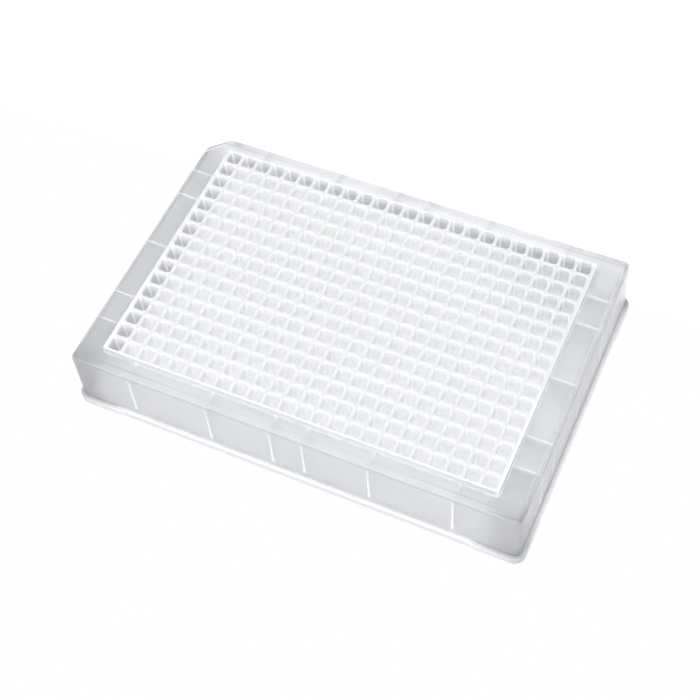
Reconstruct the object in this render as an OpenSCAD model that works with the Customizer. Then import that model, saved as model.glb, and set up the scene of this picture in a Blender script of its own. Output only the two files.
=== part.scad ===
// 384-well storage plate: one moulding with a raised block of 24 x 16 deep square wells,
// a lower deck around it, a drafted skirt and a flange that carries the footprint.
// Millimetres, +Z up, origin at the bottom in the middle of the footprint.
// X runs along the long side and Y along the short side; well A1 is at -X, +Y.

/* [Footprint] */
// Length of the footprint, along X
plate_l = 127.76; // [124:0.01:134]
// Width of the footprint, along Y
plate_w = 85.48; // [83:0.01:92]
// Height from the bench to the rims of the wells
plate_h = 22; // [20:0.1:44]

/* [Wells] */
// Number of wells along the long side
well_cols = 24; // [2:1:24]
// Number of wells along the short side
well_rows = 16; // [2:1:16]
// Distance from well to well, both ways
pitch = 4.5; // [4:0.05:4.6]
// Thickness of the web between two wells at the rim
web_t = 0.9; // [0.6:0.05:1.5]
// Depth of the drafted square part of a well
straight_d = 16.2; // [8:0.1:17.5]
// How much narrower a well is where its point begins
well_taper = 0.5; // [0.1:0.05:0.8]
// Depth of the point at the foot of a well
point_d = 2.8; // [1.5:0.1:3]
// Width of the flat at the very bottom of a well
well_floor_w = 1.0; // [0.6:0.1:1.6]
// Thickness of material under a well
floor_t = 0.8; // [0.5:0.1:1.2]
// Wall around the flat at the bottom of a well
tip_wall = 0.7; // [0.5:0.05:0.9]
// Gap between neighbouring well tips where they leave the block
tip_gap = 0.3; // [0.2:0.05:0.5]

/* [Well block] */
// Rim outside the first and last column of wells
end_rim = 1.15; // [0.6:0.05:2]
// Rim outside the first and last row of wells
side_rim = 0.65; // [0.5:0.05:2]
// Thickness of the block under the square part of the wells
block_floor_t = 0.5; // [0.4:0.05:1]

/* [Deck and skirt] */
// How far the deck lies below the rims of the wells
deck_drop = 2; // [0.8:0.1:4]
// Thickness of the deck
deck_t = 1.2; // [0.8:0.1:2]
// Thickness of the skirt
skirt_t = 1.2; // [0.8:0.05:1.5]
// Draft of the skirt from its foot to the deck, each side
skirt_draft = 0.45; // [0.2:0.05:0.6]
// Corner radius of the skirt at its foot
skirt_r = 2.0; // [1.9:0.1:4]
// Bevel along the outer edge of the deck
deck_bevel = 0.6; // [0.2:0.1:0.8]
// Bevelled corner beside well A1
key_chamfer = 6.0; // [3:0.5:8]

/* [Flange] */
// Height of the flange
flange_h = 2.6; // [2.1:0.05:3]
// Width of the ledge on the flange at the two short sides
end_ledge = 1.1; // [0.8:0.05:1.5]
// Width of the ledge on the flange at the two long sides
side_ledge = 0.95; // [0.8:0.05:1.5]
// Thickness of the ledge over the stacking recess
ledge_t = 1.1; // [0.8:0.05:1.3]
// Corner radius of the footprint
flange_r = 3.18; // [2:0.01:4]
// Length of the full-width corner, from the end of each side
corner_len = 12.7; // [8:0.1:16]
// How far the flange stands back between the corners
relief_d = 0.25; // [0.1:0.05:0.4]
// Length of the slope from the corner to the relief
relief_slope = 1.2; // [0.5:0.1:3]
// Clearance around the deck of a plate stacked below
stack_clear = 0.3; // [0.1:0.05:0.4]

/* [Ribs] */
// Thickness of the ribs between the block and the skirt
rib_t = 0.8; // [0.6:0.05:1.2]
// Height of the foot of the ribs above the bench
rib_foot = 4.5; // [3.2:0.1:8]
// Diameter of the round pads on the two middle ribs of each long side
pad_d = 1.3; // [1:0.1:2]
// Height of the middle of these pads above the bench
pad_z = 11.2; // [9:0.1:15]

/* [Hidden] */
$fn = 64;
// distance that a cut runs past the face that it opens
over = 1;
well_w = pitch - web_t;
block_l = (well_cols - 1) * pitch + well_w + 2 * end_rim;
block_w = (well_rows - 1) * pitch + well_w + 2 * side_rim;
well_d = straight_d + point_d;
point_z = plate_h - straight_d;
well_floor_z = plate_h - well_d;
block_foot_z = point_z - block_floor_t;
deck_z = plate_h - deck_drop;
skirt_l = plate_l - 2 * end_ledge;
skirt_w = plate_w - 2 * side_ledge;
deck_l = skirt_l - 2 * skirt_draft;
deck_w = skirt_w - 2 * skirt_draft;
// ribs, counted in wells from the middle of each side
long_side_ribs = [1, 5, 10];
short_side_ribs = [0, 4, 6];
natural = [0.93, 0.94, 0.95, 0.85];

// Section of one well, straight part and point, running on above the rim
module well_section() {
    taper_per_mm = well_taper / 2 / straight_d;
    top = well_w / 2 + taper_per_mm * over;
    neck = (well_w - well_taper) / 2;
    polygon([[-top, plate_h + over], [-neck, point_z], [-well_floor_w / 2, well_floor_z],
             [well_floor_w / 2, well_floor_z], [neck, point_z], [top, plate_h + over]]);
}

// Section of the outside of one well tip, running on into the block
module tip_section() {
    head = (pitch - tip_gap) / 2;
    tip = well_floor_w / 2 + tip_wall;
    tip_z = well_floor_z - floor_t;
    slope = (head - tip) / (block_foot_z - tip_z);
    into = block_floor_t / 4;
    top = min(head + slope * into, pitch / 2 - tip_gap / 4);
    polygon([[-top, block_foot_z + into], [-head, block_foot_z], [-tip, tip_z],
             [tip, tip_z], [head, block_foot_z], [top, block_foot_z + into]]);
}

// Children, a section in X and Z, drawn as one bar per column and crossed with one bar per row
module crossed_bars() {
    intersection() {
        for (i = [0 : well_cols - 1])
            translate([(i - (well_cols - 1) / 2) * pitch, 0, 0])
                rotate([90, 0, 0])
                    linear_extrude(height = block_w, center = true) children();
        for (j = [0 : well_rows - 1])
            translate([0, (j - (well_rows - 1) / 2) * pitch, 0])
                rotate([90, 0, 90])
                    linear_extrude(height = block_l, center = true) children();
    }
}

// Slab with rounded corners, l x w at its foot and smaller by inset each side at its top
module drafted_slab(l, w, h, inset, r) {
    rotate([90, 0, 0])
        linear_extrude(height = w - 2 * r, center = true)
            polygon([[-l / 2, 0], [l / 2, 0], [l / 2 - inset, h], [-l / 2 + inset, h]]);
    rotate([90, 0, 90])
        linear_extrude(height = l - 2 * r, center = true)
            polygon([[-w / 2, 0], [w / 2, 0], [w / 2 - inset, h], [-w / 2 + inset, h]]);
    for (sx = [-1, 1], sy = [-1, 1])
        translate([sx * (l / 2 - r), sy * (w / 2 - r), 0])
            cylinder(h = h, r1 = r, r2 = r - inset);
}

// Everything beyond the bevelled corner beside A1, above z and inset towards the wells
module beyond_key_corner(z, inset) {
    side = 4 * key_chamfer;
    reach = key_chamfer / sqrt(2) + inset;
    translate([-deck_l / 2, deck_w / 2, z])
        rotate([0, 0, 45])
            translate([-side / 2, -reach, 0])
                cube([side, side, plate_h]);
}

// Outside of the skirt and the deck
module skirt_body() {
    wall_h = deck_z - deck_bevel;
    difference() {
        union() {
            drafted_slab(skirt_l, skirt_w, wall_h, skirt_draft, skirt_r);
            translate([0, 0, wall_h])
                drafted_slab(deck_l, deck_w, deck_bevel, deck_bevel, skirt_r - skirt_draft);
        }
        beyond_key_corner(flange_h, 0);
    }
}

// Hollow under the deck, one skirt thickness inside the skirt
module skirt_hollow() {
    difference() {
        translate([0, 0, -over])
            drafted_slab(skirt_l - 2 * skirt_t, skirt_w - 2 * skirt_t,
                         deck_z - deck_t + over, skirt_draft, skirt_r - skirt_t);
        beyond_key_corner(-over, skirt_t);
    }
}

// Slope and straight of the relief along one side of the flange
module relief_outline(side_len) {
    outer = side_len / 2 - corner_len;
    inner = outer - relief_slope;
    polygon([[-outer, 0], [-inner, -relief_d], [inner, -relief_d], [outer, 0],
             [outer, over], [-outer, over]]);
}

// Outline of the footprint: rounded corners, and a shallow relief along each side
module flange_outline() {
    difference() {
        union() {
            square([plate_l - 2 * flange_r, plate_w], center = true);
            square([plate_l, plate_w - 2 * flange_r], center = true);
            for (sx = [-1, 1], sy = [-1, 1])
                translate([sx * (plate_l / 2 - flange_r), sy * (plate_w / 2 - flange_r)])
                    circle(r = flange_r);
        }
        for (turn = [0, 180]) {
            rotate(turn) translate([0, plate_w / 2]) relief_outline(plate_l);
            rotate(turn + 90) translate([0, plate_l / 2]) relief_outline(plate_w);
        }
    }
}

// Recess in the foot that takes the deck of a plate stacked below
module stacking_recess() {
    translate([0, 0, -over])
        drafted_slab(deck_l + 2 * stack_clear, deck_w + 2 * stack_clear,
                     flange_h - ledge_t + over, 0, skirt_r - skirt_draft);
}

// Upright web from the block to the middle of the skirt's thickness, at the -Y side
module side_rib(x) {
    translate([x - rib_t / 2, -deck_w / 2 + skirt_t / 2, rib_foot])
        cube([rib_t, (deck_w - skirt_t - block_w) / 2 + side_rim / 2, deck_z - deck_t / 2 - rib_foot]);
}

// The same at the +X side
module end_rib(y) {
    translate([block_l / 2 - end_rim / 2, y - rib_t / 2, rib_foot])
        cube([(deck_l - skirt_t - block_l) / 2 + end_rim / 2, rib_t, deck_z - deck_t / 2 - rib_foot]);
}

// Round pad on a middle rib, against the inside of the skirt
module rib_pad(x) {
    translate([x, -deck_w / 2 + skirt_t / 2, pad_z])
        rotate([-90, 0, 0])
            cylinder(h = skirt_t, d = pad_d);
}

module ribs() {
    for (turn = [0, 180]) rotate(turn) {
        for (n = long_side_ribs, s = [-1, 1]) side_rib(s * n * pitch);
        for (n = short_side_ribs, s = n == 0 ? [1] : [-1, 1]) end_rib(s * n * pitch);
        for (s = [-1, 1]) rib_pad(s * long_side_ribs[0] * pitch);
    }
}

module well_block() {
    translate([-block_l / 2, -block_w / 2, block_foot_z])
        cube([block_l, block_w, plate_h - block_foot_z]);
    crossed_bars() tip_section();
}

module plate() {
    color(natural) difference() {
        union() {
            difference() {
                union() {
                    linear_extrude(height = flange_h) flange_outline();
                    skirt_body();
                }
                skirt_hollow();
                stacking_recess();
            }
            ribs();
            well_block();
        }
        crossed_bars() well_section();
    }
}

plate();
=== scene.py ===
# %% [markdown]
# # A plate of 384 deep wells, moulded in natural polypropylene
#
# The real plate is one moulding: a raised block of 24 x 16 square wells, a lower deck round it, a
# tall skirt with a flange at its foot, and upright ribs in the hollow between the block and the skirt.
# So the scene makes one closed mesh. The frame is the imported CAD part: the plate's length, width
# and height are read from it.

# %% The frame
import math

import bmesh
import bpy
from mathutils import Matrix, Vector


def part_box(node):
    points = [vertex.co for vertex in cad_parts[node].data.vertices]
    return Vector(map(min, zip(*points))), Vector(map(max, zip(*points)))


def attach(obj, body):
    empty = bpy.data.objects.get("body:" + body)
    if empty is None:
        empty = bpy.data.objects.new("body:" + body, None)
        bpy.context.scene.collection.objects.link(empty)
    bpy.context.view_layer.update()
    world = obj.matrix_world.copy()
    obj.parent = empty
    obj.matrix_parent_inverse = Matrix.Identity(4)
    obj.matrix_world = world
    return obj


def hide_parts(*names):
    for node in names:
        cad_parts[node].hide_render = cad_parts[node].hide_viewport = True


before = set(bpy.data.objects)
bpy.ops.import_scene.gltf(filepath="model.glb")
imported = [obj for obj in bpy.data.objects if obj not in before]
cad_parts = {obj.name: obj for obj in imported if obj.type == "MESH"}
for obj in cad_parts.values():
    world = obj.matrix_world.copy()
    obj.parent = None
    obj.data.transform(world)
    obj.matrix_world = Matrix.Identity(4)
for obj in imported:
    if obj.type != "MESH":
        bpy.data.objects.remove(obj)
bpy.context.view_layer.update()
low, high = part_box("plate")
MM = 0.001
half_l = (high.x - low.x) / 2 / MM
half_w = (high.y - low.y) / 2 / MM
rim_z = high.z / MM
print(f"frame: {2 * half_l:.2f} x {2 * half_w:.2f} x {rim_z:.2f} mm")

# %% [markdown]
# ## Sizes
#
# The plate is worked out in millimetres, from the same named sizes as the CAD part. The wells sit on a
# grid of 4.5 mm. The small radii are what a mould gives an edge: the CAD part leaves them out, and they
# are what catches the light.

# %% Sizes
PITCH = 4.5
COLS = 24
ROWS = 16
WELL_TOP = 3.6
WELL_NECK = 3.1
WELL_FLOOR = 1.0
NECK_Z = rim_z - 16.2
FLOOR_Z = NECK_Z - 2.8
FOOT_Z = NECK_Z - 0.5
TIP_Z = FLOOR_Z - 0.8
TIP_HEAD = PITCH - 0.3
TIP_END = 2.4
grid_l = COLS * PITCH / 2
grid_w = ROWS * PITCH / 2
block_l = grid_l + 0.7
block_w = grid_w + 0.2
BLOCK_R = 0.5
DECK_Z = rim_z - 2.0
DECK_T = 1.2
SKIRT_T = 1.2
DRAFT = 0.45
DRAFT_Z = DECK_Z - 0.6
FLANGE_Z = 2.6
RECESS_Z = 1.5
RECESS_CLEAR = 0.3
CORNER_ZONE = 12.7
RELIEF = 0.25
RELIEF_SLOPE = 1.2
CHAMFER = 6.0
FLANGE_R = 3.18
SKIRT_R = 2.0
skirt_l = half_l - 1.1
skirt_w = half_w - 0.95
deck_l = skirt_l - DRAFT
deck_w = skirt_w - DRAFT
print(f"block {2 * block_l:.1f} x {2 * block_w:.1f} mm, deck {2 * deck_l:.1f} x {2 * deck_w:.1f} mm")

# %% [markdown]
# ## One well
#
# A well is a square tube with rounded corners that narrows a little on its way down, and ends in a short
# pyramid with a small flat. It comes 384 times, so it is made from few faces: three points round each
# corner, and one ring of faces for each change of slope. Its tile is exactly one pitch wide, so that
# tiles laid side by side share their edges and can be welded into one sheet.

# %% Rings of points
def round_square(width, radius, z, steps=2):
    """Points round a square with rounded corners, anticlockwise from the corner at +X, -Y."""
    reach = width / 2 - radius
    points = []
    for corner in range(4):
        turn = math.radians(90 * corner)
        centre = Matrix.Rotation(turn, 2) @ Vector((reach, -reach))
        for step in range(steps + 1):
            angle = turn + math.radians(90 * step / steps - 90)
            points.append((centre.x + radius * math.cos(angle), centre.y + radius * math.sin(angle), z))
    return points


def add_ring(bm, points):
    return [bm.verts.new(Vector(p) * MM) for p in points]


def bridge(bm, ring_a, ring_b):
    """A band of four-sided faces from ring_a to ring_b, which have the same number of points."""
    count = len(ring_a)
    for i in range(count):
        j = (i + 1) % count
        bm.faces.new((ring_a[i], ring_a[j], ring_b[j], ring_b[i]))


def plain_object(name, bm):
    mesh = bpy.data.meshes.new(name)
    bm.to_mesh(mesh)
    bm.free()
    piece = bpy.data.objects.new(name, mesh)
    bpy.context.scene.collection.objects.link(piece)
    return piece


def tile_top(bm, z, ring, per_corner):
    """The flat between the four corners of a tile and the first ring inside it."""
    half = PITCH / 2
    corners = add_ring(bm, [(half, -half, z), (half, half, z), (-half, half, z), (-half, -half, z)])
    for c in range(4):
        inner = ring[c * per_corner:(c + 1) * per_corner]
        nearest = ring[(c + 1) * per_corner % len(ring)]
        bm.faces.new([corners[c]] + inner[::-1])
        bm.faces.new([corners[c], corners[(c + 1) % 4], nearest, inner[-1]])


# %% The well tile and the tip tile
EDGE_R = 0.13
well_rings = [
    (WELL_TOP + 2 * EDGE_R, 0.62, rim_z),
    (WELL_TOP + 0.6 * EDGE_R, 0.52, rim_z - 0.3 * EDGE_R),
    (WELL_TOP, 0.48, rim_z - EDGE_R),
    (WELL_NECK, 0.42, NECK_Z),
    (WELL_FLOOR, 0.3, FLOOR_Z),
]
bm = bmesh.new()
rings = [add_ring(bm, round_square(w, r, z)) for w, r, z in well_rings]
tile_top(bm, rim_z, rings[0], 3)
for upper, lower in zip(rings, rings[1:]):
    bridge(bm, upper, lower)
bm.faces.new(rings[-1])
well_tile = plain_object("well_tile", bm)

tip_rings = [
    (TIP_HEAD, 0.5, FOOT_Z),
    (TIP_END + 0.3, 0.5, TIP_Z + 0.15),
    (TIP_END, 0.4, TIP_Z),
]
bm = bmesh.new()
rings = [add_ring(bm, round_square(w, r, z)) for w, r, z in tip_rings]
tile_top(bm, FOOT_Z, rings[0], 3)
for upper, lower in zip(rings, rings[1:]):
    bridge(bm, upper, lower)
bm.faces.new(rings[-1])
bmesh.ops.reverse_faces(bm, faces=bm.faces)
tip_tile = plain_object("tip_tile", bm)
print(f"well tile {len(well_tile.data.polygons)} faces, tip tile {len(tip_tile.data.polygons)} faces")

# %% [markdown]
# ## The grid of wells
#
# Geometry Nodes repeat a tile at each point of a grid, weld the shared edges and hand back one plain
# sheet. The same tree lays the 384 wells and, from below, the 384 tips.


# %% A tree that lays tiles
WELD_TILES = 0.005


def tile_tree(material):
    tree = bpy.data.node_groups.new("lay_tiles", "GeometryNodeTree")
    face = tree.interface
    face.new_socket("Tile", in_out="INPUT", socket_type="NodeSocketGeometry")
    sizes = (("Columns", "Int", COLS), ("Rows", "Int", ROWS), ("Pitch", "Float", PITCH * MM))
    for name, kind, value in sizes:
        face.new_socket(name, in_out="INPUT", socket_type=f"NodeSocket{kind}").default_value = value
    face.new_socket("Sheet", in_out="OUTPUT", socket_type="NodeSocketGeometry")
    add = tree.nodes.new
    link = tree.links.new
    inputs = add("NodeGroupInput")
    output = add("NodeGroupOutput")
    grid = add("GeometryNodeMeshGrid")
    for count, size, verts in (("Columns", "Size X", "Vertices X"), ("Rows", "Size Y", "Vertices Y")):
        gaps = add("ShaderNodeMath")
        gaps.operation = "SUBTRACT"
        gaps.inputs[1].default_value = 1
        span = add("ShaderNodeMath")
        span.operation = "MULTIPLY"
        link(inputs.outputs[count], gaps.inputs[0])
        link(gaps.outputs[0], span.inputs[0])
        link(inputs.outputs["Pitch"], span.inputs[1])
        link(span.outputs[0], grid.inputs[size])
        link(inputs.outputs[count], grid.inputs[verts])
    instance = add("GeometryNodeInstanceOnPoints")
    real = add("GeometryNodeRealizeInstances")
    weld = add("GeometryNodeMergeByDistance")
    weld.inputs["Distance"].default_value = WELD_TILES * MM
    finish = add("GeometryNodeSetMaterial")
    finish.inputs["Material"].default_value = material
    link(grid.outputs["Mesh"], instance.inputs["Points"])
    link(inputs.outputs["Tile"], instance.inputs["Instance"])
    link(instance.outputs["Instances"], real.inputs["Geometry"])
    link(real.outputs["Geometry"], weld.inputs["Geometry"])
    link(weld.outputs["Geometry"], finish.inputs["Geometry"])
    link(finish.outputs["Geometry"], output.inputs["Sheet"])
    return tree


def made_plain(piece, tree):
    """The mesh that the tree makes from the piece; the piece itself is removed."""
    modifier = piece.modifiers.new("tree", "NODES")
    modifier.node_group = tree
    ready = piece.evaluated_get(bpy.context.evaluated_depsgraph_get())
    mesh = bpy.data.meshes.new_from_object(ready)
    piece.modifiers.remove(modifier)
    bpy.data.objects.remove(piece)
    return mesh


natural = bpy.data.materials.new("natural_polypropylene")
lay_tiles = tile_tree(natural)
well_sheet = made_plain(well_tile, lay_tiles)
tip_sheet = made_plain(tip_tile, lay_tiles)
print(f"well sheet {len(well_sheet.polygons)} faces, tip sheet {len(tip_sheet.polygons)} faces")

# %% [markdown]
# ## The shell
#
# Everything round the wells is a run of closed rings, each a rounded rectangle: down the outside of the
# block, across the deck, over its edge and down the skirt, across the ledge, round the flange, and back
# up the inside to the foot of the block. All rings have the same number of points, in the same order, so
# a band of faces joins each to the next. The deck and the skirt have a bevelled corner beside well A1.


# %% Rings of the shell
CORNER_STEPS = 6
columns_x = [-grid_l + PITCH * i for i in range(COLS + 1)]
rows_y = [-grid_w + PITCH * j for j in range(ROWS + 1)]


def stations(grid, half):
    """The grid lines along one side, and the two ends of each slope of the relief."""
    zone = half - CORNER_ZONE
    ends = [zone, zone - RELIEF_SLOPE]
    return sorted(grid + ends + [-e for e in ends])


stations_x = stations(columns_x, half_l)
stations_y = stations(rows_y, half_w)


def corner_arc(x, y, radius, start):
    centre_x = x - math.copysign(radius, x)
    centre_y = y - math.copysign(radius, y)
    arc = []
    for step in range(CORNER_STEPS + 1):
        angle = math.radians(start + 90 * step / CORNER_STEPS)
        arc.append((centre_x + radius * math.cos(angle), centre_y + radius * math.sin(angle)))
    return arc


def key_corner(x, y, cut, radius):
    """The bevelled corner at -X, +Y: cut is how much it takes from each of the two sides."""
    tangent = radius * math.tan(math.radians(22.5))
    points = []
    for end_x, end_y, start in ((x + cut, y, 90), (x, y - cut, 135)):
        if start == 90:
            centre = (end_x + tangent, end_y - radius)
        else:
            centre = (end_x + radius, end_y - tangent)
        for step in range(3):
            angle = math.radians(start + 22.5 * step)
            points.append((centre[0] + radius * math.cos(angle), centre[1] + radius * math.sin(angle)))
    middle = tuple((a + b) / 2 for a, b in zip(points[2], points[3]))
    return points[:3] + [middle] + points[3:]


def shell_ring(l, w, radius, z, key_line=None, relief=0.0):
    """A rounded rectangle, anticlockwise from the -X end of the -Y side. l and w go from its middle to its
    sides. key_line is where the bevel beside A1 lies, as the sum of its distances along -X and +Y."""
    cut = 0.0 if key_line is None else l + w - key_line

    def pull(at, half):
        zone = half - CORNER_ZONE
        return relief * min(max((zone - abs(at)) / RELIEF_SLOPE, 0.0), 1.0)

    def along(grid, limit_low, limit_high):
        return [min(max(s, -limit_low), limit_high) for s in grid]

    reach_x = l - radius
    reach_y = w - radius
    key_x = l - cut - radius / 2 if cut else reach_x
    key_y = w - cut - radius / 2 if cut else reach_y
    front = [(x, -w + pull(x, half_l)) for x in along(stations_x, reach_x, reach_x)]
    right = [(l - pull(y, half_w), y) for y in along(stations_y, reach_y, reach_y)]
    back = [(x, w - pull(x, half_l)) for x in along(stations_x, key_x, reach_x)][::-1]
    left = [(-l + pull(y, half_w), y) for y in along(stations_y, reach_y, key_y)][::-1]
    key = key_corner(-l, w, cut, radius) if cut else corner_arc(-l, w, radius, 90)
    outline = front + corner_arc(l, -w, radius, -90) + right + corner_arc(l, w, radius, 0)
    outline += back + key + left + corner_arc(-l, -w, radius, 180)
    return [(x, y, z) for x, y in outline]


# %% Profile of the shell, from the rim of the block to its foot
key_outer = deck_l + deck_w - CHAMFER
key_inner = key_outer - SKIRT_T * math.sqrt(2)
HOLLOW_START = 1.0


def skirt_inset(z):
    return DRAFT * z / DRAFT_Z


def hollow_inset(z):
    """The hollow's draft starts a little below the foot, as in the CAD part."""
    return SKIRT_T + DRAFT * (z + HOLLOW_START) / (DECK_Z - DECK_T + HOLLOW_START)


def round_over(l, w, radius, z, edge, start, end, steps, **more):
    """Rings round an edge in section: start and end in degrees, 0 pointing outwards and 90 up."""
    rings = []
    for step in range(steps + 1):
        angle = math.radians(start + (end - start) * step / steps)
        out = edge * math.cos(angle)
        rings.append(shell_ring(l + out, w + out, radius + out, z + edge * math.sin(angle), **more))
    return rings


shell = []
# rim and outside of the block, with a small fillet at its foot
rim_edge = 0.12
shell += round_over(block_l - rim_edge, block_w - rim_edge, BLOCK_R - rim_edge, rim_z - rim_edge,
                    rim_edge, 90, 0, 2)
foot_edge = 0.35
block_foot = (block_l + foot_edge, block_w + foot_edge, BLOCK_R + foot_edge)
shell += round_over(*block_foot, DECK_Z + foot_edge, foot_edge, 180, 270, 3)
# deck and its rounded edge
deck_edge = 0.7
deck_r = SKIRT_R - DRAFT + 0.1
shell += round_over(deck_l - deck_edge, deck_w - deck_edge, deck_r - deck_edge, DECK_Z - deck_edge,
                    deck_edge, 90, 0, 4, key_line=key_outer)
# skirt, down to the ledge on the flange
ledge_edge = 0.25
foot_l = skirt_l - skirt_inset(FLANGE_Z)
foot_w = skirt_w - skirt_inset(FLANGE_Z)
shell += round_over(foot_l + ledge_edge, foot_w + ledge_edge, SKIRT_R + ledge_edge, FLANGE_Z + ledge_edge,
                    ledge_edge, 180, 270, 2, key_line=key_outer)
# flange: top edge, outer face and bottom edge
flange_edge = 0.3
flange = (half_l - flange_edge, half_w - flange_edge, FLANGE_R - flange_edge)
shell += round_over(*flange, FLANGE_Z - flange_edge, flange_edge, 90, 0, 3, relief=RELIEF)
shell += round_over(*flange, flange_edge, flange_edge, 0, -90, 2, relief=RELIEF)
# stacking recess and the step above it
recess_l = deck_l + RECESS_CLEAR
recess_w = deck_w + RECESS_CLEAR
recess_r = SKIRT_R - DRAFT
shell += [shell_ring(recess_l, recess_w, recess_r, 0.0), shell_ring(recess_l, recess_w, recess_r, RECESS_Z)]
step_in = hollow_inset(RECESS_Z)
shell += [shell_ring(skirt_l - step_in, skirt_w - step_in, SKIRT_R - SKIRT_T, RECESS_Z, key_line=key_inner)]
# hollow, up to a fillet under the deck
under_edge = 1.2
under_z = DECK_Z - DECK_T
top_in = hollow_inset(under_z - under_edge)
for step in range(4):
    angle = math.radians(30 * step)
    inset = top_in + under_edge * (1 - math.cos(angle))
    shell.append(shell_ring(skirt_l - inset, skirt_w - inset, SKIRT_R - SKIRT_T,
                            under_z - under_edge + under_edge * math.sin(angle), key_line=key_inner))
# underside of the deck, and the block's side down to its foot
shell += round_over(*block_foot, under_z - foot_edge, foot_edge, 90, 180, 2)
shell += [shell_ring(block_l, block_w, BLOCK_R, FOOT_Z)]

bm = bmesh.new()
shell_rings = [add_ring(bm, ring) for ring in shell]
for upper, lower in zip(shell_rings, shell_rings[1:]):
    bridge(bm, lower, upper)
print(f"shell: {len(shell_rings)} rings of {len(shell_rings[0])} points")


# %% [markdown]
# ## One moulding
#
# The two sheets of tiles are welded to the shell. Between the outermost grid line and the block's edge
# runs a narrow strip: each face of it takes two neighbouring points of the grid and all the points
# of the ring that lie between them.


# %% The strips that join the sheets to the shell
def grid_outline(z):
    """The outermost grid points in the order of the shell's rings, with a corner where two sides meet."""
    front = [(x, -grid_w, z) for x in columns_x]
    right = [(grid_l, y, z) for y in rows_y]
    back = [(x, grid_w, z) for x in reversed(columns_x)]
    left = [(-grid_l, y, z) for y in reversed(rows_y)]
    return [front, right, back, left]


def strip(bm, ring, z, flip):
    """Faces from the grid's outline to a ring: one for each tile and one for each corner."""
    at = 0
    made = {}

    def vert(point):
        key = tuple(round(c, 4) for c in point)
        if key not in made:
            made[key] = bm.verts.new(Vector(point) * MM)
        return made[key]

    for side, grid, along in zip(grid_outline(z), (columns_x, rows_y) * 2, (stations_x, stations_y) * 2):
        marks = [along.index(g) for g in grid]
        if side[0][0] > side[-1][0] or side[0][1] > side[-1][1]:
            marks = [len(along) - 1 - m for m in reversed(marks)]
        for n in range(len(side) - 1):
            outer = [ring[at + k] for k in range(marks[n], marks[n + 1] + 1)]
            face = [vert(side[n + 1]), vert(side[n])] + outer
            bm.faces.new(face if not flip else face[::-1])
        at += len(along)
        outer = [ring[(at - 1 + k) % len(ring)] for k in range(CORNER_STEPS + 3)]
        face = [vert(side[-1])] + outer
        bm.faces.new(face if not flip else face[::-1])
        at += CORNER_STEPS + 1


WELD_SHEETS = 0.002
strip(bm, shell_rings[0], rim_z, False)
strip(bm, shell_rings[-1], FOOT_Z, True)
bm.from_mesh(well_sheet)
bm.from_mesh(tip_sheet)
bmesh.ops.remove_doubles(bm, verts=bm.verts, dist=WELD_SHEETS * MM)
loose = [e for e in bm.edges if len(e.link_faces) != 2]
volume = bm.calc_volume() / MM ** 3
print(f"without ribs: {len(bm.faces)} faces, {len(loose)} open edges, volume {volume:.0f} mm3")
moulding = plain_object("plate_moulding", bm)

# %% [markdown]
# ## The ribs
#
# Upright ribs tie the block to the skirt inside the hollow: six along each long side and five across each
# end. They carry the deck when plates are stacked. Geometry Nodes set one bar at each marked point, and a
# Boolean makes the bars one body with the moulding, as the mould does.

# %% Where the ribs stand
RIB_T = 0.8
RIB_FOOT = 4.5
PAD_D = 1.3
PAD_Z = 11.2
rib_top = DECK_Z - DECK_T / 2
rib_steps_x = (1, 5, 10)
rib_steps_y = (0, 4, 6)
long_side_ribs = [s * n * PITCH for n in rib_steps_x for s in (-1, 1)]
short_side_ribs = [n * PITCH for n in (-6, -4, 0, 4, 6)]
bars = []
for side in (-1, 1):
    for x in long_side_ribs:
        inner = block_w - 0.3
        outer = deck_w - SKIRT_T / 2
        bars.append(((x, side * (inner + outer) / 2), (RIB_T, outer - inner)))
    for y in short_side_ribs:
        inner = block_l - 0.5
        outer = deck_l - SKIRT_T / 2
        bars.append(((side * (inner + outer) / 2, y), (outer - inner, RIB_T)))
print(f"{len(bars)} ribs, {rib_top - RIB_FOOT:.1f} mm high")


# %% A tree that sets bars
def bar_tree(material):
    tree = bpy.data.node_groups.new("set_bars", "GeometryNodeTree")
    face = tree.interface
    face.new_socket("Marks", in_out="INPUT", socket_type="NodeSocketGeometry")
    rise = face.new_socket("Height", in_out="INPUT", socket_type="NodeSocketFloat")
    rise.default_value = (rib_top - RIB_FOOT) * MM
    face.new_socket("Bars", in_out="OUTPUT", socket_type="NodeSocketGeometry")
    add = tree.nodes.new
    link = tree.links.new
    inputs = add("NodeGroupInput")
    output = add("NodeGroupOutput")
    plan = add("GeometryNodeInputNamedAttribute")
    plan.data_type = "FLOAT_VECTOR"
    plan.inputs["Name"].default_value = "plan"
    size = add("ShaderNodeVectorMath")
    size.operation = "ADD"
    lift = add("ShaderNodeCombineXYZ")
    unit = add("GeometryNodeMeshCube")
    unit.inputs["Size"].default_value = (1, 1, 1)
    instance = add("GeometryNodeInstanceOnPoints")
    real = add("GeometryNodeRealizeInstances")
    finish = add("GeometryNodeSetMaterial")
    finish.inputs["Material"].default_value = material
    link(inputs.outputs["Height"], lift.inputs["Z"])
    link(plan.outputs["Attribute"], size.inputs[0])
    link(lift.outputs["Vector"], size.inputs[1])
    link(inputs.outputs["Marks"], instance.inputs["Points"])
    link(unit.outputs["Mesh"], instance.inputs["Instance"])
    link(size.outputs["Vector"], instance.inputs["Scale"])
    link(instance.outputs["Instances"], real.inputs["Geometry"])
    link(real.outputs["Geometry"], finish.inputs["Geometry"])
    link(finish.outputs["Geometry"], output.inputs["Bars"])
    return tree


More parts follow.
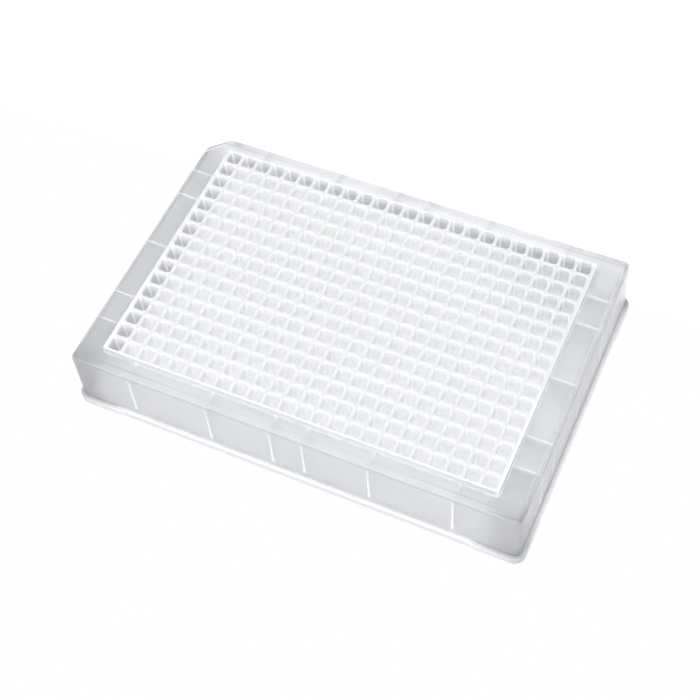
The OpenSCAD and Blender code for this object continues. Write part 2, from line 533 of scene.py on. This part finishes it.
marks = bpy.data.meshes.new("rib_marks")
middle_z = (rib_top + RIB_FOOT) / 2
marks.from_pydata([(x * MM, y * MM, middle_z * MM) for (x, y), size in bars], [], [])
plan = marks.attributes.new("plan", "FLOAT_VECTOR", "POINT")
for mark, (place, size) in zip(plan.data, bars):
    mark.vector = (size[0] * MM, size[1] * MM, 0)
rib_marks = bpy.data.objects.new("rib_marks", marks)
bpy.context.scene.collection.objects.link(rib_marks)
rib_mesh = made_plain(rib_marks, bar_tree(natural))
bm = bmesh.new()
bm.from_mesh(rib_mesh)
pad_r = PAD_D / 2 * MM
turn = Matrix.Rotation(math.radians(90), 4, "X")
for sx in (-1, 1):
    for sy in (-1, 1):
        place = Matrix.Translation(Vector((sx * PITCH, sy * (deck_w - SKIRT_T), PAD_Z)) * MM)
        bmesh.ops.create_cone(bm, cap_ends=True, segments=20, radius1=pad_r, radius2=pad_r,
                              depth=SKIRT_T * MM, matrix=place @ turn)
ribs = plain_object("ribs", bm)
print(f"ribs and pads: {len(ribs.data.polygons)} faces")

# %% [markdown]
# ## One body with soft edges
#
# Ribs and shell leave the mould as one piece, so a Boolean union joins them. The manifold solver is exact
# for closed meshes and quick. Smooth shading with sharp edges over 40 degrees keeps the flat faces flat,
# and weighted normals let the small radii catch the light without adding faces.

# %% One body
union = moulding.modifiers.new("ribs", "BOOLEAN")
union.operation = "UNION"
union.solver = "MANIFOLD"
union.object = ribs
union_mesh = bpy.data.meshes.new_from_object(moulding.evaluated_get(bpy.context.evaluated_depsgraph_get()))
moulding.modifiers.remove(union)
moulding.data = union_mesh
bpy.data.objects.remove(ribs)
bm = bmesh.new()
bm.from_mesh(moulding.data)
loose = [e for e in bm.edges if len(e.link_faces) != 2]
triangles = sum(len(f.verts) - 2 for f in bm.faces)
volume = bm.calc_volume() / MM ** 3
print(f"moulding: {triangles} triangles, {len(loose)} open edges, volume {volume:.0f} mm3")
bm.to_mesh(moulding.data)
bm.free()

# %% Soft edges
moulding.data.shade_smooth()
moulding.data.set_sharp_from_angle(angle=math.radians(40))
weighted = moulding.modifiers.new("weighted", "WEIGHTED_NORMAL")
weighted.keep_sharp = True
shaded = bpy.data.meshes.new_from_object(moulding.evaluated_get(bpy.context.evaluated_depsgraph_get()))
moulding.modifiers.remove(weighted)
moulding.data = shaded
moulding.data.materials.clear()
moulding.data.materials.append(natural)
print(f"{len(moulding.data.vertices)} vertices after shading")

# %% [markdown]
# ## Where the plastic is thick
#
# Unpigmented polypropylene is milky. Light passes a thin wall and is only blurred; in the block, with
# hundreds of walls side by side, it is scattered until the plastic looks white. A shader can't measure
# thickness well, so each face gets a value of its own: `milk` says how thick the plastic behind it is,
# and `hollow` says how much scattered light gathers on it inside the hollow.

# %% Faces of the ribs
EDGE = 0.05


def on_rib(centre, normal):
    """True for the faces of a rib or a pad inside the hollow."""
    if centre.z < RIB_FOOT - EDGE or centre.z > under_z:
        return False
    near_x = any(abs(abs(centre.x) - n * PITCH) < PAD_D for n in rib_steps_x)
    near_y = any(abs(abs(centre.y) - n * PITCH) < RIB_T for n in rib_steps_y)
    beside_x = near_x and block_w < abs(centre.y) < deck_w - 0.3
    beside_y = near_y and block_l < abs(centre.x) < deck_l - 0.3
    return (beside_x and abs(normal.y) < 0.5) or (beside_y and abs(normal.x) < 0.5)


# %% Thick and thin faces
def thickness(centre, normal):
    """How thick the plastic is behind a face, from 0 for a thin wall to 1 for the block."""
    if abs(centre.x) < block_l - EDGE and abs(centre.y) < block_w - EDGE:
        return 1.0
    if abs(centre.x) < block_l + EDGE and abs(centre.y) < block_w + EDGE:
        return 0.5 if centre.z > DECK_Z else 1.0
    return 0.8 if on_rib(centre, normal) else 0.0


def face_values(name, rule):
    """Writes rule(centre, normal) on every face, with the centre in millimetres."""
    values = [rule(face.center / MM, face.normal) for face in moulding.data.polygons]
    moulding.data.attributes.new(name, "FLOAT", "FACE").data.foreach_set("value", values)
    return values


milk_values = face_values("milk", thickness)
thick_faces = sum(value == 1.0 for value in milk_values)
print(f"{thick_faces} faces of thick plastic, {milk_values.count(0.0)} of thin")

# %% Faces of the hollow
# strengths of the painted glow in the hollow: most on the back wall, then the right end, least elsewhere
HOLLOW_SKIRT = 0.45
HOLLOW_RIGHT = 0.65
HOLLOW_BACK = 1.0
HOLLOW_RIB = 0.6
BACK_STRIP = 4


def faces_hollow(centre, normal):
    """How much light gathers on a face, from 0 outside the hollow to 1 for the side of the block."""
    if not RECESS_Z < centre.z < under_z:
        return 0.0
    if abs(centre.x) < block_l + EDGE and abs(centre.y) < block_w + EDGE:
        return 1.0 if abs(centre.x) > block_l - EDGE or abs(centre.y) > block_w - EDGE else 0.0
    if on_rib(centre, normal):
        return HOLLOW_RIB
    along, across = (centre.x, normal.x) if abs(normal.x) > abs(normal.y) else (centre.y, normal.y)
    if math.copysign(1, along) * across > -0.3:
        return 0.0
    if centre.y > deck_w - BACK_STRIP:
        return HOLLOW_BACK
    return HOLLOW_RIGHT if centre.x > deck_l - BACK_STRIP else HOLLOW_SKIRT


hollow_values = face_values("hollow", faces_hollow)
print(f"{sum(v > 0 for v in hollow_values)} faces look into the hollow")

# %% [markdown]
# ## Natural polypropylene
#
# One plastic makes the whole plate, so one material does too: a Principled shader whose colour and
# transmission go from a clear, faintly grey thin wall to a white thick one. What changes over the surface
# is mixed from masks. A mask is a number from 0 to 1 that a few Math and Map Range nodes work out from
# Object coordinates, in metres; small helpers keep each mask to a line.

# %% The shader
natural.use_nodes = True
nodes = natural.node_tree.nodes
links = natural.node_tree.links
shader = nodes["Principled BSDF"]
shader.inputs["IOR"].default_value = 1.49
shader.inputs["Subsurface Radius"].default_value = (1, 1, 1)
shader.inputs["Subsurface Scale"].default_value = 1.5 * MM
place_in = nodes.new("ShaderNodeTexCoord")
axes = nodes.new("ShaderNodeSeparateXYZ")
links.new(place_in.outputs["Object"], axes.inputs["Vector"])
print("shader:", shader.name)


# %% Helpers for masks
def math_node(operation, a, b=None):
    """A Math node; a and b are sockets or numbers."""
    node = nodes.new("ShaderNodeMath")
    node.operation = operation
    for socket, value in zip(node.inputs, (a, b)):
        if isinstance(value, bpy.types.NodeSocket):
            links.new(value, socket)
        elif value is not None:
            socket.default_value = value
    return node.outputs[0]


def product(*factors):
    """All the factors multiplied."""
    result = factors[0]
    for factor in factors[1:]:
        result = math_node("MULTIPLY", result, factor)
    return result


def largest(*values):
    """The largest of the values."""
    result = values[0]
    for value in values[1:]:
        result = math_node("MAXIMUM", result, value)
    return result


def apart(a, b):
    """How far a and b are apart."""
    return math_node("ABSOLUTE", math_node("SUBTRACT", a, b))


def without(mask):
    """The mask turned round: 1 where it was 0."""
    return math_node("SUBTRACT", 1.0, mask)


def ramp(value, start, end, low=0.0, high=1.0, unit=MM):
    """A smooth change from low to high while value goes from start to end, which are in millimetres."""
    node = nodes.new("ShaderNodeMapRange")
    node.interpolation_type = "SMOOTHSTEP"
    node.inputs["From Min"].default_value = start * unit
    node.inputs["From Max"].default_value = end * unit
    node.inputs["To Min"].default_value = low
    node.inputs["To Max"].default_value = high
    links.new(value, node.inputs["Value"])
    return node.outputs["Result"]


def mixed(factor, a, b, kind="FLOAT"):
    """A Mix node between two values or colours, each a socket or a plain value."""
    mix = nodes.new("ShaderNodeMix")
    mix.data_type = kind
    sockets = [i for i in mix.inputs if i.enabled]
    links.new(factor, sockets[0])
    for socket, value in zip(sockets[1:], (a, b)):
        if isinstance(value, bpy.types.NodeSocket):
            links.new(value, socket)
        else:
            socket.default_value = value
    return [o for o in mix.outputs if o.enabled][0]


def face_value(name):
    """Reads a value that was written on the faces."""
    node = nodes.new("ShaderNodeAttribute")
    node.attribute_name = name
    return node.outputs["Fac"]


# %% Places on the plate
x = axes.outputs["X"]
y = axes.outputs["Y"]
height = axes.outputs["Z"]
from_middle_x = math_node("ABSOLUTE", x)
from_middle_y = math_node("ABSOLUTE", y)
thick = face_value("milk")
solid_part = math_node("GREATER_THAN", thick, 0.9)
thin_part = without(solid_part)
deck_face = ramp(height, DECK_Z - 0.3, DECK_Z - 0.1)
# painted light: the back of the plate, behind the block, is whiter and clearer, as if lit from behind
back_lit = ramp(y, block_w + 0.3, block_w + 2)
print(f"{len(nodes)} nodes so far")

# %% [markdown]
# ## Ribs seen through the wall, and painted edge lines
#
# A rib stands behind the wall and touches it, so there the plastic is thick and a white line shows, with a
# small dot where the rib's foot ends. The rib lines are masks and not shapes, because they are a change in
# how thick the plastic is and not in the outer surface. The inner corner of the skirt shows through the
# deck as a thin dark line, made darker with painted shade, and the deck's own edge gets a dark line of
# painted shade too. A light line on the deck's rounded edge and a white line beside the A1 bevel are
# painted highlights.

# %% Rib lines
RIB_ON_DECK = 0.4
RIB_ON_WALL = 1.0
RIB_TOP = 0.65
near_foot = product(ramp(height, RIB_FOOT + 0.5, RIB_FOOT + 1.0),
                    ramp(height, RIB_FOOT + 2.2, RIB_FOOT + 1.6))


def rib_lines(across, steps, outwards, edge):
    """White lines where ribs stand: across is measured along the side, outwards away from it."""
    lines = []
    for n in steps:
        off = apart(across, n * PITCH * MM)
        dot = product(ramp(off, 0.3, 0.7, 1.0, 0.0), near_foot)
        lines.append(math_node("MAXIMUM", ramp(off, 0.05, 0.4, 1.0, 0.0), dot))
    return product(largest(*lines), ramp(outwards, edge, edge + 0.3))


lines = math_node("MAXIMUM", rib_lines(from_middle_x, rib_steps_x, from_middle_y, block_w),
                  rib_lines(from_middle_y, rib_steps_y, from_middle_x, block_l))
above_foot = ramp(height, RIB_FOOT, RIB_FOOT + 1.5)
on_near_deck = product(ramp(from_middle_y, block_w + 0.5, block_w + 1.5), ramp(y, 0, -1), 0.9)
on_deck = product(without(on_near_deck), RIB_ON_DECK)
down_wall = ramp(height, DECK_Z - 1, 7, RIB_TOP, RIB_ON_WALL)
rib_line = product(lines, above_foot, mixed(ramp(height, DECK_Z - 0.1, DECK_Z - 0.6), on_deck, down_wall))
print(f"rib lines at {[n * PITCH for n in rib_steps_x]} and {[n * PITCH for n in rib_steps_y]} mm")

# %% Edge lines of painted shade and painted highlight
INNER_L = deck_l - SKIRT_T - 0.23
INNER_W = deck_w - SKIRT_T - 0.94
# painted shade: the skirt's inner corner drawn dark on the deck, most towards the corners and the right end
end_x = ramp(from_middle_x, 20, 56, 0.3, 1.0)
end_y = math_node("MAXIMUM", ramp(from_middle_y, 14, 38, 0.1, 1.0), ramp(x, 0, 50, 0.0, 0.55))
line_x = product(ramp(apart(from_middle_x, INNER_L * MM), 0.05, 0.5, 1.0, 0.0),
                 ramp(from_middle_y, INNER_W + 0.3, INNER_W - 0.1), end_y)
line_y = product(ramp(apart(from_middle_y, INNER_W * MM), 0.05, 0.5, 1.0, 0.0),
                 ramp(from_middle_x, INNER_L + 0.3, INNER_L - 0.1), end_x)
corner_line_shade = product(math_node("MAXIMUM", line_x, line_y), deck_face)


def beyond(inset, full):
    """1 on the strip along the deck's edge, from inset to full millimetres inside it."""
    return math_node("MAXIMUM", ramp(from_middle_x, deck_l - inset, deck_l - full),
                     ramp(from_middle_y, deck_w - inset, deck_w - full))


# painted shade: a dark line on the deck's rounded edge, on the front and both ends
edge_line_shade = product(beyond(0.45, 0.15), ramp(height, DECK_Z - 1.1, DECK_Z - 0.8), ramp(y, 39, 38),
                    thin_part)
# painted highlight: a light line on the deck's rounded edge, strong on the back and left sides, faint
# elsewhere
DECK_RIM_HIGHLIGHT = 0.05
FAR_RIM_HIGHLIGHT = 0.5
far_side = math_node("MAXIMUM", ramp(x, -60, -61.5), ramp(y, 39, 40.5))
deck_rim_highlight = product(beyond(0.7, 0.3), ramp(height, DECK_Z - 0.8, DECK_Z - 0.5),
                   math_node("MAXIMUM", product(far_side, FAR_RIM_HIGHLIGHT), DECK_RIM_HIGHLIGHT))
# painted highlight: a white line on the deck just inside the A1 bevel, also given a little painted glow
KEY_LINE_IN = 1.5
from_key = math_node("ADD", x, math_node("SUBTRACT", (key_outer - KEY_LINE_IN) * MM, y))
key_line = product(ramp(math_node("ABSOLUTE", from_key), 0.15, 0.6, 1.0, 0.0),
                   ramp(height, DECK_Z - 0.4, DECK_Z - 0.2), thin_part)
print(f"inner corner shows at {INNER_L:.1f} and {INNER_W:.1f} mm")

# %% [markdown]
# ## Painted shade on the shell and the block
#
# Near the four corners nothing stands behind the deck and the skirt, so they get painted shade, and so do
# the skirt's walls, most on its two ends and its lower corners. The outermost walls of the block have only
# the hollow behind them, so the wells along the left and back sides show grey triangles of painted shade.
# The webs between the wells are thinner than the rim round the block. Both tops get painted shade, the webs
# more, and the upper walls of the wells are painted darker near the mouth, most towards the back right.

# %% Painted shade on the corners and walls of the shell
# painted shade near the four corners: on the deck and skirt, on the deck beside the block, and low on the
# skirt
empty_corner_shade = product(ramp(from_middle_x, block_l - 8, block_l + 5),
                       ramp(from_middle_y, block_w - 6, block_w + 4),
                       thin_part, ramp(y, 25, 35, 1.0, 0.3))
deck_corner_shade = product(ramp(from_middle_x, block_l - 14, block_l + 2),
                      ramp(from_middle_y, block_w - 14, block_w - 2),
                      ramp(height, DECK_Z - 0.4, DECK_Z - 0.1), thin_part)
corner_foot_shade = product(ramp(from_middle_x, 56, 62.5), ramp(from_middle_y, 36, 41.5), ramp(height, 15, 3),
                      thin_part)
# painted shade on the skirt's walls, darker on its two ends
walls = product(ramp(height, DECK_Z - 0.3, DECK_Z - 1.2), ramp(height, FLANGE_Z, FLANGE_Z + 0.3), thin_part)
end_wall_shade = product(walls, ramp(from_middle_x, 60.6, 61.4))
print(f"{len(nodes)} nodes so far")

# %% Painted shade on the walls of the wells
EDGE_WELL_SHADE = 0.65
WALL_TOP = rim_z - 0.15
outer_wells = math_node("MAXIMUM", ramp(x, PITCH - grid_l - 0.2, PITCH - grid_l - 0.4),
                        ramp(y, grid_w - PITCH + 0.2, grid_w - PITCH + 0.4))
outer_walls = math_node("MAXIMUM", ramp(x, 0.9 - grid_l, 0.7 - grid_l), ramp(y, grid_w - 0.9, grid_w - 0.7))
in_well_x = apart(math_node("PINGPONG", from_middle_x, PITCH * MM), PITCH / 2 * MM)
in_well_y = apart(math_node("PINGPONG", from_middle_y, PITCH * MM), PITCH / 2 * MM)
well_corner = product(ramp(in_well_x, 1.2, 1.45), ramp(in_well_y, 1.2, 1.45))
inside_block = product(ramp(from_middle_x, block_l - 0.3, block_l - 0.4),
                       ramp(from_middle_y, block_w - 0.2, block_w - 0.3), solid_part)
# painted shade: grey triangles on the outermost walls of the left column and back row, weaker on their
# other walls
outer_wall_shade = product(math_node("MAXIMUM", outer_walls, product(outer_wells, EDGE_WELL_SHADE)),
                     without(well_corner), inside_block, ramp(height, WALL_TOP, WALL_TOP - 0.15))
print(f"{len(nodes)} nodes with the walls of the wells")

# %% Painted shade on the top of the block
MOUTH_Z = 15
on_grid = product(ramp(from_middle_x, grid_l + 0.1, grid_l - 0.1),
                  ramp(from_middle_y, grid_w - 0.1, grid_w - 0.2))
top_face = ramp(height, rim_z - 0.12, rim_z - 0.06)
# painted shade on the tops of the webs, and on the top of the block, more towards the back
web_shade = product(top_face, on_grid)
block_rim_shade = product(top_face, solid_part, ramp(y, -34, 5, 0.4, 0.72))
# painted shade down the upper walls of the wells, darker near the mouth and towards the back right
far_well_shade = ramp(math_node("ADD", x, y), 45, 80, 1.0, 1.6)
well_mouth_shade = product(without(well_corner), ramp(height, MOUTH_Z, rim_z - 0.3), without(top_face), on_grid,
                     solid_part, far_well_shade)
print(f"{len(nodes)} nodes so far")

# %% [markdown]
# ## The flange
#
# The flange is a thin rim at the foot, with a groove above it at the corners and across the ends. The mesh
# leaves the groove out, so its shade is painted on as a dark band. The flange sits on the table, and it is
# painted whiter, as if lit, while its outer face gets painted shade, lighter where it bends. Just above the
# flange, the foot of the skirt is painted whiter too.

# %% Flange: painted shade of the groove and the outer face, painted light on top
zone_x = half_l - CORNER_ZONE
zone_y = half_w - CORNER_ZONE
# painted shade of a groove that the mesh leaves out: a dark band above the flange at the corners and ends
near_corner = product(ramp(from_middle_x, zone_x - 1, zone_x + 1),
                      ramp(from_middle_y, zone_y - 1, zone_y + 1))
across_end = ramp(from_middle_x, skirt_l - 1.5, skirt_l - 0.8)
groove_shade = product(math_node("MAXIMUM", near_corner, across_end),
                 ramp(height, FLANGE_Z + 1.0, FLANGE_Z + 0.5),
                 ramp(height, FLANGE_Z + 0.02, FLANGE_Z + 0.1))
# painted light: the flange is made whiter, as if lit
on_flange = ramp(height, FLANGE_Z + 0.05, FLANGE_Z - 0.05)
# painted highlight where the flange bends, which lightens its painted shade there
bend_x = product(ramp(from_middle_x, 49.2, 49.8), ramp(from_middle_x, 51.8, 51.2))
bend_y = product(ramp(from_middle_y, 28.0, 28.6), ramp(from_middle_y, 30.6, 30.0))
bend_highlight = product(math_node("MAXIMUM", bend_x, bend_y), on_flange, thin_part)
# painted shade on the flange's outer face, as the plate's own shade
flange_face_shade = product(ramp(height, FLANGE_Z - 0.15, FLANGE_Z - 0.4), without(product(bend_highlight, 0.25)))
# painted light: a whiter band at the foot of the skirt
skirt_foot_light = product(ramp(height, 4.2, 3.2), thin_part, without(groove_shade))
print(f"corner zones start at {zone_x:.1f} and {zone_y:.1f} mm from the middle")

# %% [markdown]
# ## Streaks and clouds
#
# Plastic flows down the thin walls of the wells and leaves faint upright streaks. Over the broad walls the
# milk is never quite even, so slow noise makes clouds in the colour and in the roughness. A fine grain in
# the bump is what the mould's own surface leaves.


# %% Noise
def noise(vector, scale, detail):
    """A noise value with the scale in steps for each metre."""
    node = nodes.new("ShaderNodeTexNoise")
    node.inputs["Scale"].default_value = scale
    node.inputs["Detail"].default_value = detail
    links.new(vector, node.inputs["Vector"])
    return node.outputs["Fac"]


STREAKS = 0.12
CLOUDS = 0.12
stretch = nodes.new("ShaderNodeMapping")
stretch.inputs["Scale"].default_value = (1, 1, 0.05)
links.new(place_in.outputs["Object"], stretch.inputs["Vector"])
streaks = noise(stretch.outputs["Vector"], 2600, 1)
clouds = noise(place_in.outputs["Object"], 70, 3)
grain = noise(place_in.outputs["Object"], 1500, 2)
streak_shade = product(ramp(streaks, 0.45, 0.75, unit=1), solid_part, STREAKS)
cloud_shade = product(ramp(clouds, 0.35, 0.75, unit=1), thin_part, CLOUDS)
print(f"streaks mix in up to {STREAKS:.0%} of the shade, clouds up to {CLOUDS:.0%}")

# %% [markdown]
# ## Putting the masks together
#
# The colour takes the strongest of all the painted shades and of the random streaks and clouds, so two that
# overlap don't add up to a hole. The whiteness takes the strongest of all that make the wall white: the
# real thickness of the plastic and the ribs, with the painted highlights and painted light on the flange,
# the skirt's foot, the deck's rim and the A1 bevel. They drive the colour and the transmission.

# %% Colour
THIN_COLOUR = (0.91, 0.92, 0.94, 1)
# painted light: the whiter colour of the back of the plate
BACK_LIT_COLOUR = (0.97, 0.975, 0.985, 1)
THICK_COLOUR = (0.988, 0.989, 0.990, 1)
SHADE_COLOUR = (0.56, 0.57, 0.585, 1)
# painted shades, with the random streaks and clouds
dark = largest(
    product(corner_line_shade, 0.8), edge_line_shade, product(outer_wall_shade, 0.66), product(empty_corner_shade, 0.75),
    product(groove_shade, 0.65), product(flange_face_shade, 0.62), product(web_shade, 0.76), block_rim_shade,
    product(well_mouth_shade, 0.46), product(walls, 0.42), product(end_wall_shade, 0.62), corner_foot_shade,
    product(deck_corner_shade, 0.35), streak_shade, cloud_shade)
# the real thickness of the plastic, with painted highlights and painted light
milk_and_highlights = largest(
    thick, rib_line, product(on_flange, 0.8), deck_rim_highlight, product(key_line, 0.7), product(corner_line_shade, 0.1),
    product(skirt_foot_light, 0.5))
plain_colour = mixed(milk_and_highlights, mixed(back_lit, THIN_COLOUR, BACK_LIT_COLOUR, "RGBA"), THICK_COLOUR, "RGBA")
links.new(mixed(dark, plain_colour, SHADE_COLOUR, "RGBA"), shader.inputs["Base Color"])
print(f"{len(nodes)} nodes with the colour")

# %% Clearness, roughness and bump
THIN_CLEAR = 0.8
BACK_CLEAR = 0.93
links.new(mixed(milk_and_highlights, mixed(back_lit, THIN_CLEAR, BACK_CLEAR), 0.0), shader.inputs["Transmission Weight"])
links.new(solid_part, shader.inputs["Subsurface Weight"])
links.new(ramp(clouds, 0.3, 0.7, 0.29, 0.38, unit=1), shader.inputs["Roughness"])
skin = nodes.new("ShaderNodeBump")
skin.inputs["Strength"].default_value = 0.05
skin.inputs["Distance"].default_value = 0.05 * MM
links.new(grain, skin.inputs["Height"])
links.new(skin.outputs["Normal"], shader.inputs["Normal"])
print(f"thin walls are {THIN_CLEAR:.0%} clear, and {BACK_CLEAR:.0%} along the back")

# %% [markdown]
# ## Scattered light
#
# Light that is scattered hundreds of times inside the block and the hollow would need far more bounces
# than a render can follow. A weak painted glow stands in for it: on the walls of the hollow, down in the
# wells and along the ribs. It is soft and even, as that light is. The same glow also paints highlights on
# the corners of the outer wells and on the line beside the A1 bevel.

# %% Glow
GLOW_COLOUR = (0.95, 0.965, 1.0, 1)
HOLLOW_GLOW = 0.2
WELL_GLOW = 0.052
CORNER_GLOW = 0.08
RIB_GLOW = 0.12
# painted highlight: glow on the line beside the A1 bevel
KEY_GLOW = 0.05
in_hollow = product(face_value("hollow"), without(empty_corner_shade), HOLLOW_GLOW)
in_wells = product(on_grid, ramp(height, rim_z - 0.5, MOUTH_Z), ramp(height, 5, 9), solid_part, WELL_GLOW)
# painted highlights on the corners of the outer wells
in_corners = product(well_corner, outer_wells, inside_block, CORNER_GLOW)
along_ribs = product(rib_line, thin_part, RIB_GLOW)
glow = in_hollow
for part in (in_wells, in_corners, along_ribs, product(key_line, KEY_GLOW)):
    glow = math_node("ADD", glow, part)
links.new(mixed(glow, (0, 0, 0, 1), GLOW_COLOUR, "RGBA"), shader.inputs["Emission Color"])
shader.inputs["Emission Strength"].default_value = 1.0
cycles = bpy.context.scene.cycles
cycles.max_bounces = 48
cycles.diffuse_bounces = 32
cycles.transmission_bounces = 32
cycles.glossy_bounces = 16
print(f"material: {len(nodes)} nodes, {len(links)} links")

# %% [markdown]
# ## The piece
#
# The plate has no moving parts, so its one mesh rides on the root body and takes the place of the CAD
# solid.

# %% The piece
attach(moulding, "root")
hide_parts("plate")
print("pieces: plate")

# %% [markdown]
# ## Floor, light and camera
#
# The plate lies on white paper under a large soft lamp. The paper gives an even light of its own, so it
# stays plain and takes no shadow. Under the plate it is dimmer, and behind the plate it is brighter, which
# lights the clear walls from behind. Its back is see-through, so the underside can be looked at. The
# camera looks down on one corner, as a person at the bench would.


# %% Floor
def paper_ramp(value, start, end, low, high):
    """A straight change from low to high while value goes from start to end, in metres."""
    node = paper_nodes.new("ShaderNodeMapRange")
    node.inputs["From Min"].default_value = start
    node.inputs["From Max"].default_value = end
    node.inputs["To Min"].default_value = low
    node.inputs["To Max"].default_value = high
    paper_links.new(value, node.inputs["Value"])
    return node.outputs["Result"]


def paper_math(operation, *values):
    """A Math node in the paper's material."""
    node = paper_nodes.new("ShaderNodeMath")
    node.operation = operation
    for value, socket in zip(values, node.inputs):
        paper_links.new(value, socket)
    return node.outputs[0]


FLOOR_HALF = 20.0
FLOOR_GAP = 0.05 * MM
DIM_INSET = 1.5
PLAIN_INSET = 0.5
UNDER_WHITE = 0.85
UNDER_LIGHT = 0.3
BEHIND_LIGHT = 1.5
bm = bmesh.new()
bmesh.ops.create_grid(bm, x_segments=1, y_segments=1, size=FLOOR_HALF)
bmesh.ops.translate(bm, verts=bm.verts, vec=(0, 0, -FLOOR_GAP))
floor = plain_object("floor", bm)
paper = bpy.data.materials.new("paper")
paper.use_nodes = True
paper_nodes = paper.node_tree.nodes
paper_links = paper.node_tree.links
matt = paper_nodes["Principled BSDF"]
matt.inputs["Roughness"].default_value = 1.0
matt.inputs["Specular IOR Level"].default_value = 0.0
where = paper_nodes.new("ShaderNodeTexCoord")
parts = paper_nodes.new("ShaderNodeSeparateXYZ")
paper_links.new(where.outputs["Object"], parts.inputs["Vector"])
outside = []
for axis, half in (("X", half_l), ("Y", half_w)):
    distance = paper_math("ABSOLUTE", parts.outputs[axis])
    outside.append(paper_ramp(distance, (half - DIM_INSET) * MM, (half - PLAIN_INSET) * MM, 0.0, 1.0))
open_paper = paper_math("MAXIMUM", *outside)
behind = paper_ramp(parts.outputs["Y"], (half_w - 1) * MM, (half_w + 2) * MM, 1.0, BEHIND_LIGHT)
paper_links.new(behind, matt.inputs["Emission Strength"])
paper_links.new(paper_ramp(open_paper, 0.0, 1.0, UNDER_WHITE, 0.0), matt.inputs["Base Color"])
paper_links.new(paper_ramp(open_paper, 0.0, 1.0, UNDER_LIGHT, 1.0), matt.inputs["Emission Color"])
facing = paper_nodes.new("ShaderNodeNewGeometry")
see_through = paper_nodes.new("ShaderNodeBsdfTransparent")
one_sided = paper_nodes.new("ShaderNodeMixShader")
paper_links.new(facing.outputs["Backfacing"], one_sided.inputs[0])
paper_links.new(matt.outputs["BSDF"], one_sided.inputs[1])
paper_links.new(see_through.outputs["BSDF"], one_sided.inputs[2])
paper_links.new(one_sided.outputs["Shader"], paper_nodes["Material Output"].inputs["Surface"])
floor.data.materials.append(paper)
print(f"floor: {2 * FLOOR_HALF:.0f} m square")

# %% Light
studio = bpy.data.worlds.new("studio")
bpy.context.scene.world = studio
studio.use_nodes = True
sky = studio.node_tree.nodes["Background"]
sky.inputs["Color"].default_value = (1, 1, 1, 1)
sky.inputs["Strength"].default_value = 0.8
lamp = bpy.data.lights.new("key", "AREA")
lamp.energy = 5
lamp.size = 1.0
key = bpy.data.objects.new("key", lamp)
bpy.context.scene.collection.objects.link(key)
key.location = (0.0, -0.4, 0.55)
key.rotation_euler = (-key.location).to_track_quat("-Z", "Y").to_euler()
bpy.context.scene.view_settings.view_transform = "Standard"
print(f"lamp: {lamp.energy:.0f} W, {lamp.size:.1f} m square")

# %% Camera
camera = bpy.data.cameras.new("camera")
camera.lens = 70.05
camera.sensor_width = 36
camera.clip_start = 0.01
place = Vector((0.0998, -0.1765, 0.3136))
aim = Vector((0.00133, -0.00603, 0.010))
roll = math.radians(6.68)
forward = (aim - place).normalized()
level = forward.cross(Vector((0, 0, 1))).normalized()
upright = level.cross(forward)
up = math.cos(roll) * upright + math.sin(roll) * level
side = forward.cross(up)
holder = bpy.data.objects.new("camera", camera)
holder.matrix_world = Matrix.Translation(place) @ Matrix((side, up, -forward)).transposed().to_4x4()
bpy.context.scene.collection.objects.link(holder)
bpy.context.scene.camera = holder
print(f"camera: {(place - aim).length:.3f} m away, lens {camera.lens:.1f} mm")
